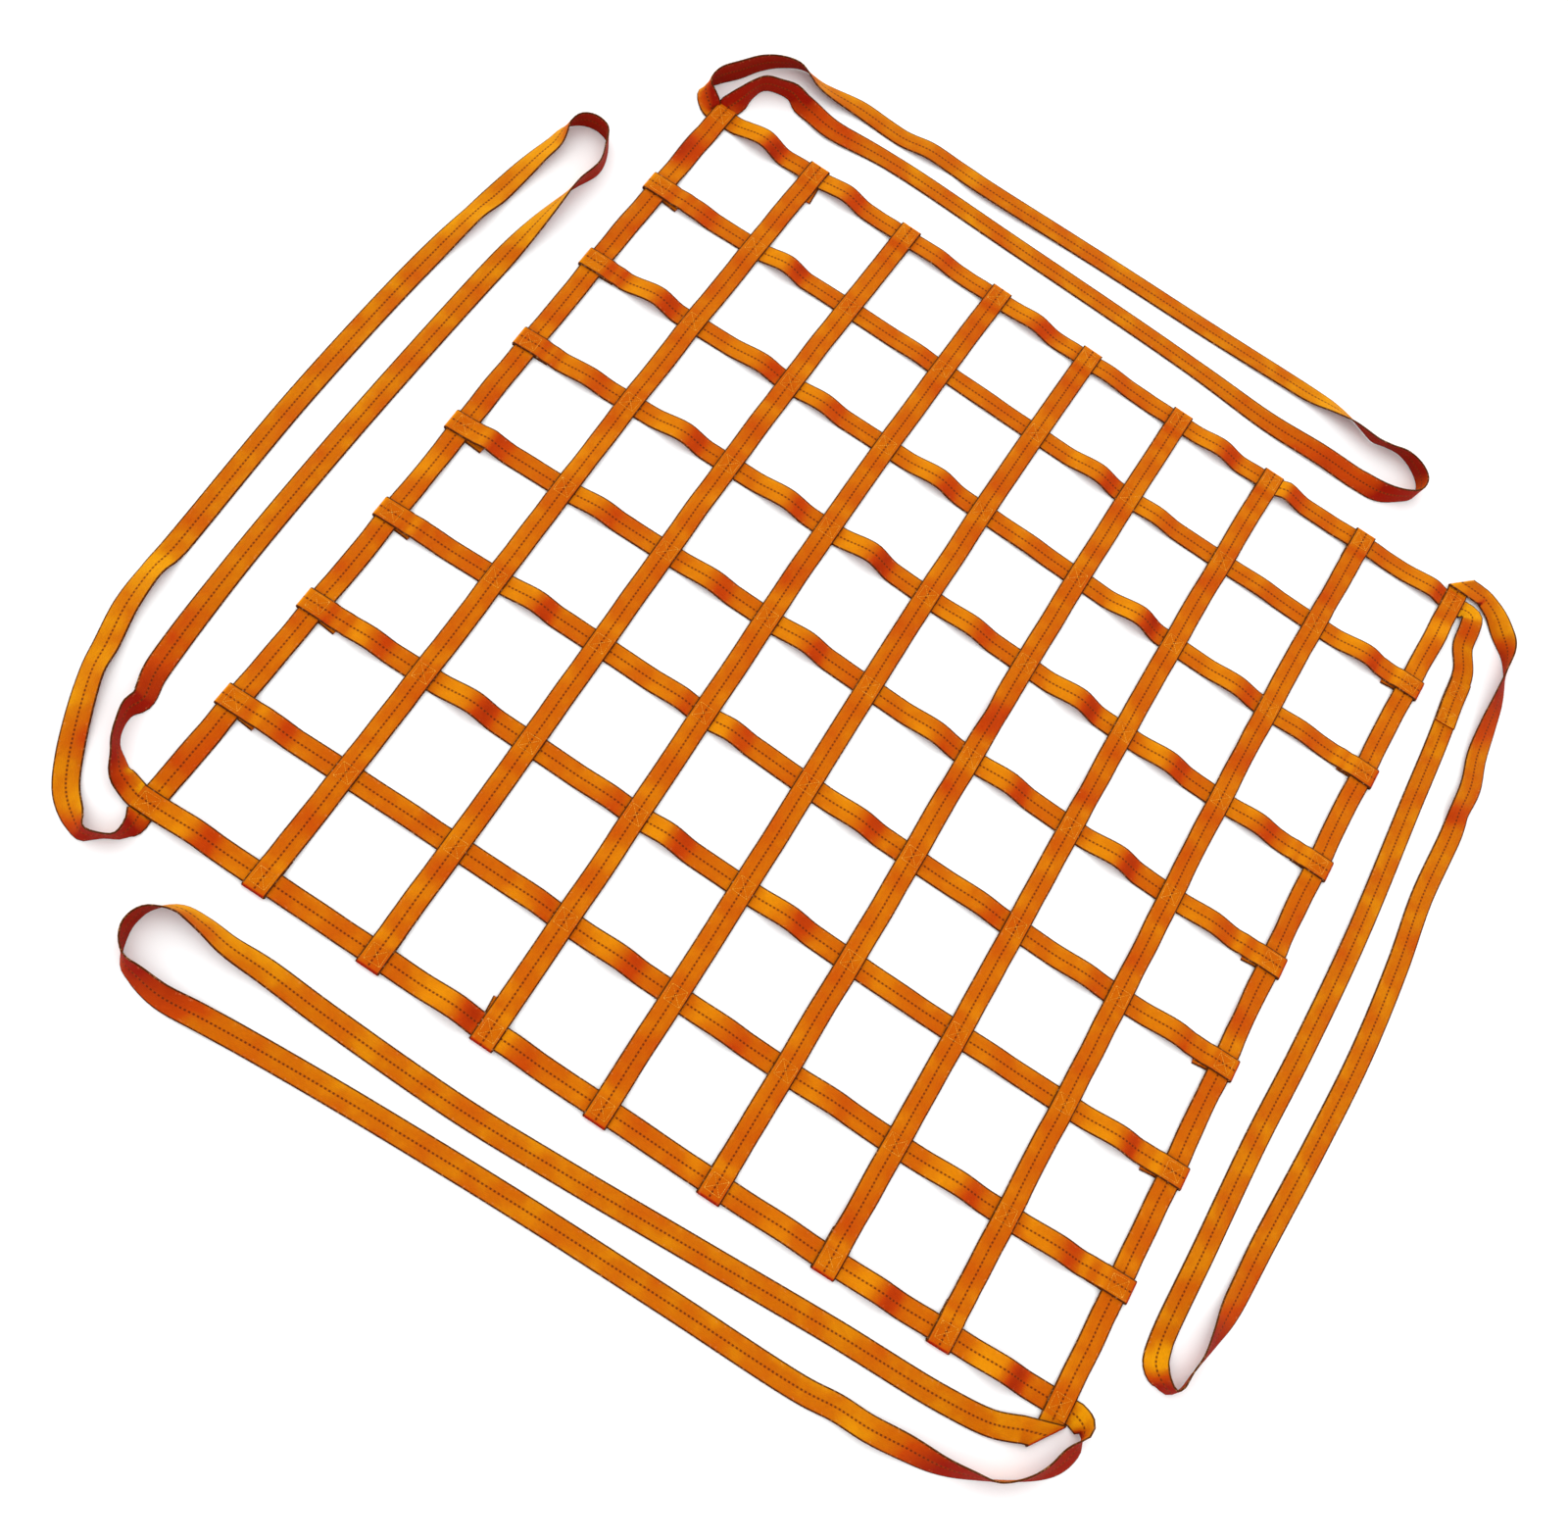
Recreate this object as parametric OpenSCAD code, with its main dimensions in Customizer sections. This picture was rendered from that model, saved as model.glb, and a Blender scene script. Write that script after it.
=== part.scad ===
// Cargo climbing net: a square mesh of sewn webbing with a long hanging sling at each corner.
// The origin is the centre of the net, on the floor. X runs along the rows, Y along the columns.

/* [Mesh] */
// Spacing of the columns, centre to centre
column_pitch = 175; // [140:5:260]
// Spacing of the rows, centre to centre
row_pitch = 175; // [140:5:260]

/* [Webbing] */
// Width of the webbing
strap_w = 35; // [25:1:42]
// Thickness of the webbing
strap_t = 2.5; // [1.5:0.1:4]

/* [Strap ends] */
// How far a folded tail shows past the inner edge of a border
tail_l = 25; // [20:1:60]
// Length over which a strap climbs by one layer
climb_l = 12; // [6:1:18]

/* [Stitching] */
// Distance from the edge of the webbing to the stitched box
stitch_margin = 5; // [2:0.5:9]
// Width of a row of stitches
thread_w = 1.2; // [0.6:0.1:2]
// How far the thread stands proud of the webbing
thread_h = 0.5; // [0.3:0.1:1]
// Length of the sewn overlap that closes a sling
splice_l = 90; // [70:5:120]

/* [Hidden] */

// Colours of the webbing and of its thread
webbing_colour = [0.92, 0.46, 0.05];
root_colour = [0.80, 0.33, 0.04];
thread_colour = [0.98, 0.72, 0.25];

// The net has eight cells each way, so seven straps lie between two borders
cells = 8;
half_x = cells*column_pitch/2;
half_y = cells*row_pitch/2;
half_w = strap_w/2;

// Sewn layers lie one above another, with this gap between them
layer_gap = 0.3;
layer = strap_t + layer_gap;
// Number of straight steps round the nose of a folded end
nose_steps = 12;

// Where a sling is cut at its lift line
hinge_gap = 0.3;
// Rings between two stations of a sling
ring_steps = 2;

// A sling leaves its corner outward, runs beside the net to its far end and comes back.
// Each station is [along the net's edge, outward, tilt, lift above the floor], from the
// centre of the corner crossing. A positive tilt raises the left-hand edge of the webbing.
// A sling starts in line with one border and ends in line with the other.
back_lift_line = 250;
back_route = [
  [0, half_w, 0, layer], [10, 40, 55, 0], [15, 65, 75, 0], [25, 90, 90, 0], [45, 100, 95, 0],
  [70, 105, 80, 0], [90, 100, 45, 0], [110, 100, 20, 2], [150, 95, 15, 2], [back_lift_line, 110, 0, 0],
  [500, 110, 0, 0], [850, 105, 0, 0], [1000, 95, 10, 0], [1100, 95, 20, 2], [1180, 95, 25, 0],
  [1215, 95, 60, 0], [1245, 110, 85, 0], [1265, 130, 90, 0], [1265, 155, 95, 0], [1245, 175, 85, 0],
  [1215, 185, 70, 0], [1185, 180, 60, 0], [1165, 175, 70, 0], [1120, 185, 50, 0], [1080, 190, 25, 0],
  [1035, 190, 5, 0], [850, 185, 0, 0], [600, 180, 0, 0], [400, 170, 0, 5], [350, 175, 0, 0],
  [300, 170, 0, 6], [back_lift_line, 165, 0, 0], [170, 165, 0, 2], [100, 155, 30, 0], [55, 160, 60, 0],
  [25, 145, 80, 0], [0, 120, 95, 0], [-20, 85, 105, 0], [-40, 50, 100, 0], [-45, 20, 60, 0],
  [-half_w, 0, 0, 0]
];
right_lift_line = 350;
right_route = [
  [0, half_w, 0, 0], [0, 28, 0, 3], [9, 37, 5, 8], [28, 42, 5, 5], [60, 47, 0, 0],
  [100, 65, 0, 0], [165, 70, 0, 0], [230, 75, 0, 0], [right_lift_line, 80, 0, 0], [600, 90, 0, 2],
  [800, 90, 0, 0], [950, 85, 0, 0], [1120, 85, 0, 0], [1260, 85, 0, 0], [1290, 90, 25, 0],
  [1305, 105, 70, 0], [1310, 120, 85, 0], [1300, 130, 75, 0], [1275, 135, 70, 0], [1250, 140, 70, 0],
  [1210, 145, 45, 0], [1170, 150, 15, 0], [1070, 155, 0, 0], [900, 165, 0, 0], [750, 170, 0, 0],
  [600, 165, 0, 0], [480, 155, 0, 0], [right_lift_line, 155, 0, 0], [325, 150, 15, 2], [275, 150, 0, 6],
  [220, 140, 5, 2], [165, 135, 20, 0], [110, 130, 40, 0], [60, 120, 70, 0], [30, 110, 100, 0],
  [0, 90, 145, 0], [-25, 70, 170, 2], [-42, 45, 175, 4], [-44, 22, 180, 4], [-38, 6, 180, 5],
  [-25, 0, 180, 4], [-half_w, 0, 180, layer]
];
front_lift_line = 300;
front_route = [
  [0, half_w, 0, layer], [3, 35, 5, 4], [16, 54, 10, 7], [40, 66, 10, 2], [65, 70, 0, 0],
  [140, 75, 0, 0], [front_lift_line, 80, 0, 0], [500, 90, 0, 0], [700, 100, 0, 0], [850, 105, 0, 0],
  [1050, 100, 0, 0], [1150, 95, 10, 2], [1205, 95, 30, 2], [1245, 90, 45, 0], [1280, 90, 60, 0],
  [1300, 100, 75, 0], [1315, 115, 95, 0], [1320, 140, 105, 0], [1310, 165, 95, 0], [1295, 180, 70, 0],
  [1275, 185, 50, 0], [1235, 190, 30, 0], [1180, 185, 5, 2], [1120, 180, 0, 0], [1000, 173, 0, 0],
  [850, 167, 0, 0], [700, 163, 0, 0], [500, 161, 0, 0], [front_lift_line, 160, 0, 0], [250, 155, 0, 2],
  [205, 155, -5, 5], [155, 150, 20, 4], [105, 145, 50, 0], [65, 135, 73, 0], [35, 125, 94, 0],
  [5, 105, 82, 0], [-20, 80, 58, 0], [-35, 55, 38, 0], [-41, 30, 50, 2], [-40, 12, 120, 2],
  [-25, 0, 175, 0], [-half_w, 0, 180, 0]
];
left_lift_line = 300;
left_route = [
  [0, half_w, 0, layer], [5, 35, 5, 3], [10, 50, 40, 1], [25, 65, 70, 0], [40, 80, 83, 0],
  [60, 90, 86, 0], [85, 95, 74, 0], [105, 90, 45, 0], [140, 100, 35, 0], [170, 105, 20, 0],
  [left_lift_line, 115, 0, 0], [500, 120, 0, 0], [700, 120, 0, 0], [950, 115, 0, 0], [1025, 110, -25, 0],
  [1080, 105, -50, 0], [1130, 100, -75, 0], [1180, 90, -90, 0], [1215, 100, -100, 0], [1240, 115, -90, 0],
  [1245, 140, -90, 0], [1235, 160, -95, 0], [1215, 170, -110, 0], [1180, 170, -150, 0],
  [1145, 175, -155, 0], [1100, 180, -170, 2], [1045, 185, -180, 4], [995, 190, -160, 2],
  [890, 200, -180, 0], [600, 205, -180, 0], [left_lift_line, 195, -180, 0], [260, 195, -155, 0],
  [200, 190, -170, 3], [140, 175, -175, 4], [100, 165, -160, 2], [0, 120, -180, 2], [-45, 90, -175, 0],
  [-70, 55, -145, 0], [-78, 36, -108, 0], [-68, 15, -80, 0], [-58, 0, -84, 0], [-40, -5, -110, 0],
  [-half_w, 0, -180, 0]
];

// ---- Straps of the mesh ----

// Underside of a row and of a column, from the middle to the inner edge of a border
function row_climb(edge_in) = [
  [edge_in - tail_l - climb_l, 0], [edge_in - tail_l, layer], [edge_in - climb_l, layer], [edge_in, 2*layer]
];
function column_climb(edge_in) = [[edge_in - climb_l, layer], [edge_in, 2*layer]];

// Outline of one wrapped end: along the top, round the outer edge, back under the border
// and inward again along the underside
function wrapped_end(climb, edge_out) =
  let (
    nose_x = edge_out + layer_gap,
    nose_r = layer + strap_t/2,
    tail_x = edge_out - strap_w - tail_l
  )
  concat(
    [for (p = climb) [p[0], p[1] + strap_t]],
    [for (k = [0:nose_steps]) let (a = 90 - 180*k/nose_steps) [nose_x + nose_r*cos(a), nose_r + nose_r*sin(a)]],
    [[tail_x, 0], [tail_x, strap_t], [nose_x, strap_t], [nose_x, 2*layer]],
    [for (k = [len(climb) - 1:-1:0]) climb[k]]
  );
function mirrored(points) = [for (k = [len(points) - 1:-1:0]) [-points[k][0], points[k][1]]];

// A strap of the mesh, seen from the side, folded round a border at each end
module mesh_strap(climb, edge_out) {
  end = wrapped_end(climb, edge_out);
  rotate([90, 0, 0]) linear_extrude(strap_w, center = true) polygon(concat(end, mirrored(end)));
}
module row(j) {
  color(webbing_colour)
    translate([0, row_y(j), 0]) mesh_strap(row_climb(half_x - half_w), half_x + half_w);
}
module column(i) {
  color(webbing_colour)
    translate([column_x(i), 0, 0]) rotate(90) mesh_strap(column_climb(half_y - half_w), half_y + half_w);
}
function row_y(j) = j*row_pitch - half_y;
function column_x(i) = i*column_pitch - half_x;

// A border lies one layer up, and drops to the floor where it passes under another border
module border(half, drops_at_start, drops_at_end) {
  inner = half - half_w;
  outer = half + half_w;
  underside = concat(
    drops_at_start ? [[-outer, 0], [-inner, 0], [-inner + climb_l, layer]] : [[-outer, layer]],
    drops_at_end ? [[inner - climb_l, layer], [inner, 0], [outer, 0]] : [[outer, layer]]
  );
  top = [for (k = [len(underside) - 1:-1:0]) underside[k] + [0, strap_t]];
  rotate([90, 0, 0]) linear_extrude(strap_w, center = true) polygon(concat(underside, top));
}
module border_front() {
  color(webbing_colour) translate([0, -half_y, 0]) border(half_x, false, true);
}
module border_back() {
  color(webbing_colour) translate([0, half_y, 0]) border(half_x, true, true);
}
module border_left() {
  color(webbing_colour) translate([-half_x, 0, 0]) rotate(90) border(half_y, true, false);
}
module border_right() {
  color(webbing_colour) translate([half_x, 0, 0]) rotate(90) border(half_y, false, false);
}

// ---- Slings ----

// Centre of the webbing at a station, resting on its lower edge
function centre(s) = [s[0], s[1], s[3] + half_w*abs(sin(s[2])) + strap_t/2*abs(cos(s[2]))];
function unit(v) = v/norm(v);
function clamp_index(i, n) = max(0, min(n - 1, i));

// Stations that lie on the lift line: one on the way out and one on the way back
function lift_stations(route, line) = [for (i = [0:len(route) - 1]) if (route[i][0] == line) i];

// Direction of travel, fixed where the webbing meets a border or the lift line
function travel(route, stops, i) =
  i == 0 ? [0, 1, 0] :
  i == len(route) - 1 || i == stops[0] ? [1, 0, 0] :
  i == stops[1] ? [-1, 0, 0] :
  unit(centre(route[i + 1]) - centre(route[i - 1]));

// Direction across the webbing, towards its left-hand edge
function across(route, stops, i) =
  let (t = travel(route, stops, i), left = unit([-t[1], t[0], 0]), tilt = route[i][2])
  left*cos(tilt) + [0, 0, 1]*sin(tilt);

// A smooth curve through four points, at the share u of the way from the second to the third
function mix(a, b, ta, tb, t) = (a*(tb - t) + b*(t - ta))/(tb - ta);
function knot(t, a, b) = t + max(sqrt(norm(b - a)), 0.1);
function curve_point(p0, p1, p2, p3, u) =
  let (
    t1 = knot(0, p0, p1), t2 = knot(t1, p1, p2), t3 = knot(t2, p2, p3), t = t1 + (t2 - t1)*u,
    a1 = mix(p0, p1, 0, t1, t), a2 = mix(p1, p2, t1, t2, t), a3 = mix(p2, p3, t2, t3, t),
    b1 = mix(a1, a2, 0, t2, t), b2 = mix(a2, a3, t1, t3, t)
  )
  mix(b1, b2, t1, t2, t);

// Centres and crosswise directions of the rings from one station to another
function ring_centres(route, first, last) = [
  for (k = [first*ring_steps:last*ring_steps])
    let (i = floor(k/ring_steps), n = len(route))
    k % ring_steps == 0 ? centre(route[i]) :
    curve_point(
      centre(route[clamp_index(i - 1, n)]), centre(route[i]), centre(route[i + 1]),
      centre(route[clamp_index(i + 2, n)]), (k % ring_steps)/ring_steps)
];
function ring_across(route, stops, first, last) = [
  for (k = [first*ring_steps:last*ring_steps])
    let (i = floor(k/ring_steps), u = (k % ring_steps)/ring_steps)
    u == 0 ? across(route, stops, i) :
    unit(across(route, stops, i)*(1 - u) + across(route, stops, i + 1)*u)
];

// Direction of travel at ring k, fixed at the two cut ends
function ring_travel(points, k, first_dir, last_dir) =
  k == 0 ? first_dir :
  k == len(points) - 1 ? last_dir :
  unit(points[k + 1] - points[k - 1]);

// The four corners of the webbing at one ring, raised if they would lie below the floor
function ring(point, way, side) =
  let (
    flat_side = unit(side - way*(side*way)),
    face = cross(way, flat_side),
    corners = [for (c = [[1, 1], [-1, 1], [-1, -1], [1, -1]]) point + flat_side*half_w*c[0] + face*strap_t/2*c[1]],
    low = min([for (c = corners) c[2]])
  )
  [for (c = corners) c + [0, 0, max(0, -low)]];

// One closed length of webbing between two stations, its ends moved along by end_shift
module webbing(route, line, first, last, end_shift = 0) {
  stops = lift_stations(route, line);
  centres = ring_centres(route, first, last);
  sides = ring_across(route, stops, first, last);
  count = len(centres);
  first_dir = travel(route, stops, first);
  last_dir = travel(route, stops, last);
  corners = [
    for (k = [0:count - 1])
      let (shift = [k == 0 || k == count - 1 ? end_shift : 0, 0, 0])
      for (c = ring(centres[k], ring_travel(centres, k, first_dir, last_dir), sides[k])) c + shift
  ];
  walls = [
    for (k = [0:count - 2], c = [0:3])
      let (a = 4*k + c, b = 4*k + (c + 1) % 4)
      each [[a, a + 4, b + 4], [a, b + 4, b]]
  ];
  end = 4*(count - 1);
  polyhedron(points = corners, faces = concat([[0, 1, 2, 3]], walls, [[end + 3, end + 2, end + 1, end]]));
}

// The two sewn lengths between the corner and the lift line, and the free loop beyond it
module sling_root(route, line) {
  stops = lift_stations(route, line);
  color(root_colour) {
    webbing(route, line, 0, stops[0]);
    webbing(route, line, stops[1], len(route) - 1);
  }
}
module sling_loop(route, line) {
  stops = lift_stations(route, line);
  color(webbing_colour) webbing(route, line, stops[0], stops[1], end_shift = hinge_gap);
}

// Each sling is drawn from its own corner, turned so that it runs beside its own border
module at_back_corner() { translate([-half_x, half_y, 0]) children(); }
module at_right_corner() { translate([half_x, half_y, 0]) rotate(-90) children(); }
module at_front_corner() { translate([half_x, -half_y, 0]) rotate(180) children(); }
module at_left_corner() { translate([-half_x, -half_y, 0]) rotate(90) children(); }

// ---- Splice: a second layer of webbing sewn on the right-hand sling ----

// The overlap follows the two flat stations of the route that it lies over
splice_from = right_route[5];
splice_to = right_route[6];
splice_turn = atan2(splice_to[1] - splice_from[1], splice_to[0] - splice_from[0]);
splice_start = 15;
module on_splice() {
  at_right_corner() translate([splice_from[0], splice_from[1], 0]) rotate(splice_turn) children();
}
module splice_overlap() {
  color(webbing_colour) on_splice()
    translate([splice_start, -half_w, layer]) cube([splice_l, strap_w, strap_t]);
}

// ---- Stitching: a box with a cross in it ----

stitch_side = strap_w - 2*stitch_margin;
module stitch_box() {
  linear_extrude(thread_h) {
    difference() {
      square(stitch_side, center = true);
      square(stitch_side - 2*thread_w, center = true);
    }
    intersection() {
      square(stitch_side - thread_w, center = true);
      union() {
        rotate(45) square([2*stitch_side, thread_w], center = true);
        rotate(-45) square([2*stitch_side, thread_w], center = true);
      }
    }
  }
}
module crossing_stitches() {
  color(thread_colour)
    for (i = [1:cells - 1], j = [1:cells - 1])
      translate([column_x(i), row_y(j), layer + strap_t]) stitch_box();
}
module border_stitches() {
  color(thread_colour)
    for (k = [1:cells - 1], side = [-1, 1]) {
      translate([side*half_x, row_y(k), 2*layer + strap_t]) stitch_box();
      translate([column_x(k), side*half_y, 2*layer + strap_t]) stitch_box();
    }
}
module corner_stitches() {
  color(thread_colour)
    for (x = [-half_x, half_x], y = [-half_y, half_y])
      translate([x, y, layer + strap_t]) stitch_box();
}
module splice_stitches() {
  color(thread_colour) on_splice()
    for (x = [strap_w/2, splice_l - strap_w/2])
      translate([splice_start + x, 0, layer + strap_t]) stitch_box();
}

border_front();
border_back();
border_left();
border_right();
row(1);  // row_1
row(2);  // row_2
row(3);  // row_3
row(4);  // row_4
row(5);  // row_5
row(6);  // row_6
row(7);  // row_7
column(1);  // column_1
column(2);  // column_2
column(3);  // column_3
column(4);  // column_4
column(5);  // column_5
column(6);  // column_6
column(7);  // column_7
at_back_corner() sling_root(back_route, back_lift_line);  // sling_back_root
at_right_corner() sling_root(right_route, right_lift_line);  // sling_right_root
at_front_corner() sling_root(front_route, front_lift_line);  // sling_front_root
at_left_corner() sling_root(left_route, left_lift_line);  // sling_left_root
at_back_corner() sling_loop(back_route, back_lift_line);  // sling_back
at_right_corner() sling_loop(right_route, right_lift_line);  // sling_right
at_front_corner() sling_loop(front_route, front_lift_line);  // sling_front
at_left_corner() sling_loop(left_route, left_lift_line);  // sling_left
splice_overlap();
crossing_stitches();
border_stitches();
corner_stitches();
splice_stitches();
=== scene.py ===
import math
import random

import bpy
import numpy as np
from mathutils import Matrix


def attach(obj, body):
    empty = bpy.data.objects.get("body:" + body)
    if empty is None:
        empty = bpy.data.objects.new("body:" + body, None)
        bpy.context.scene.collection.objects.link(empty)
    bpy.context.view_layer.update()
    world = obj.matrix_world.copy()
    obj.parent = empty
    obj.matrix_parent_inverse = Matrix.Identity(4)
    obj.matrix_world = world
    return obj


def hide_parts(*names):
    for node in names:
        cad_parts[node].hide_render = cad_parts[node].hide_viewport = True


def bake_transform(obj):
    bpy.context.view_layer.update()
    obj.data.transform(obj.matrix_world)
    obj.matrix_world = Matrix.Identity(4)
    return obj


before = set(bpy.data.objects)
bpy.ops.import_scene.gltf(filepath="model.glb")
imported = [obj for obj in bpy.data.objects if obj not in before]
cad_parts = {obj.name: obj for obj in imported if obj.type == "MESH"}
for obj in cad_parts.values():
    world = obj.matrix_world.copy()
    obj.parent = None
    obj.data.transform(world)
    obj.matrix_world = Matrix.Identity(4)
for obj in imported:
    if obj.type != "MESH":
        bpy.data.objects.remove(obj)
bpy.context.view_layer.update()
draw = random.Random(11)

# Sizes of the webbing and of the mesh, as the CAD has them, in metres
CELLS = 8
PITCH = 0.175
HALF = CELLS * PITCH / 2
WIDTH = 0.035
HALF_W = WIDTH / 2
THICK = 0.0025
HALF_T = THICK / 2
GAP = 0.0003
LAYER = THICK + GAP
CROSSINGS = [k * PITCH - HALF for k in range(1, CELLS)]
INNER = HALF - HALF_W
OUTER = HALF + HALF_W
NET_TOP = 2 * LAYER + THICK

# Heights of a strap's centre: on the floor, on one layer, and on two at a sling's flat fold
LOW = HALF_T
RAISED = HALF_T + LAYER
FOLD_HIGH = 0.00725

# Detail of the modelled webbing: ring spacing, rings round a strap's end and along its tail, and
# how far a strap goes on under the one that covers it
RING_STEP = 0.0065
NOSE_STEPS = 9
TAIL_STEPS = 8
HIDDEN_LAP = 0.012

# Rings of a flat fold before, round and after its turn, and passes that even out a sling's twist
FOLD_STEPS = (7, 7, 6)
TWIST_SMOOTHING = 6

# How far from a crossing's middle a strap starts to sag, how long it takes, and the length of the
# rise over a border
SAG_START = 0.022
SAG_RUN = 0.030
RISE_RUN = 0.012

# A hump's rise and fall, and how far a lean reaches to each side of its place, in shares of a cell
HUMP_RISE = 0.42
HUMP_FALL = 0.30
LEAN_REACH = 0.4

# Repeats of the woven pattern. A strap's index says how many offsets into the pattern it starts
TRACER_PITCH = 0.006
TWILL_PITCH = 0.0017
RIB_PITCH = 0.0022
TWIST_PITCH = 0.0006
STRAP_OFFSET = 500 * TRACER_PITCH

# The way a face turns towards the key lamp's side, where the painted light makes the webbing most yellow
PAINTED_LIGHT_WAY = (-0.55, 0.45, 0.70)

# Outline of the webbing across its width: share of the half width, share of the half thickness
FACE = [(-0.955, 0.9), (-0.86, 1.0), (-0.45, 0.93), (0.0, 0.9), (0.45, 0.93), (0.86, 1.0), (0.955, 0.9)]
EDGE = [(1.0, 0.45), (1.0, -0.45)]
SECTION = np.array(FACE + EDGE + [(-a, -w) for a, w in FACE + EDGE])

# Stitching, and how much a box turns (radians) and shifts and a stitch turns from one to the next
STITCH_PITCH = 0.0031
STITCH_LONG = 0.0027
THREAD_WIDE = 0.0011
THREAD_HIGH = 0.0009
BOX_MARGIN = 0.005
BOX_HALF = HALF_W - BOX_MARGIN - THREAD_WIDE / 2
BOX_TURN = 0.05
BOX_SHIFT = 0.0012
STITCH_TURN = 0.06

# Where each sling's corner is, and how far its own frame is turned, in degrees
CORNERS = {"back": (-HALF, HALF, 0), "right": (HALF, HALF, -90), "front": (HALF, -HALF, 180),
           "left": (-HALF, -HALF, 90)}

# Along the net's edge from the corner: where each sling bends when it is lifted, and both ends of
# the right-hand sling's sewn overlap
LIFT_LINES = {"back": 0.25, "right": 0.35, "front": 0.3, "left": 0.3}
SPLICE = (0.115, 0.205)

# Where the right-hand and the front sling fold over on themselves, along and outward
RIGHT_FOLD = (-0.040, 0)
FRONT_FOLD = (0, 0.0425)

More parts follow.
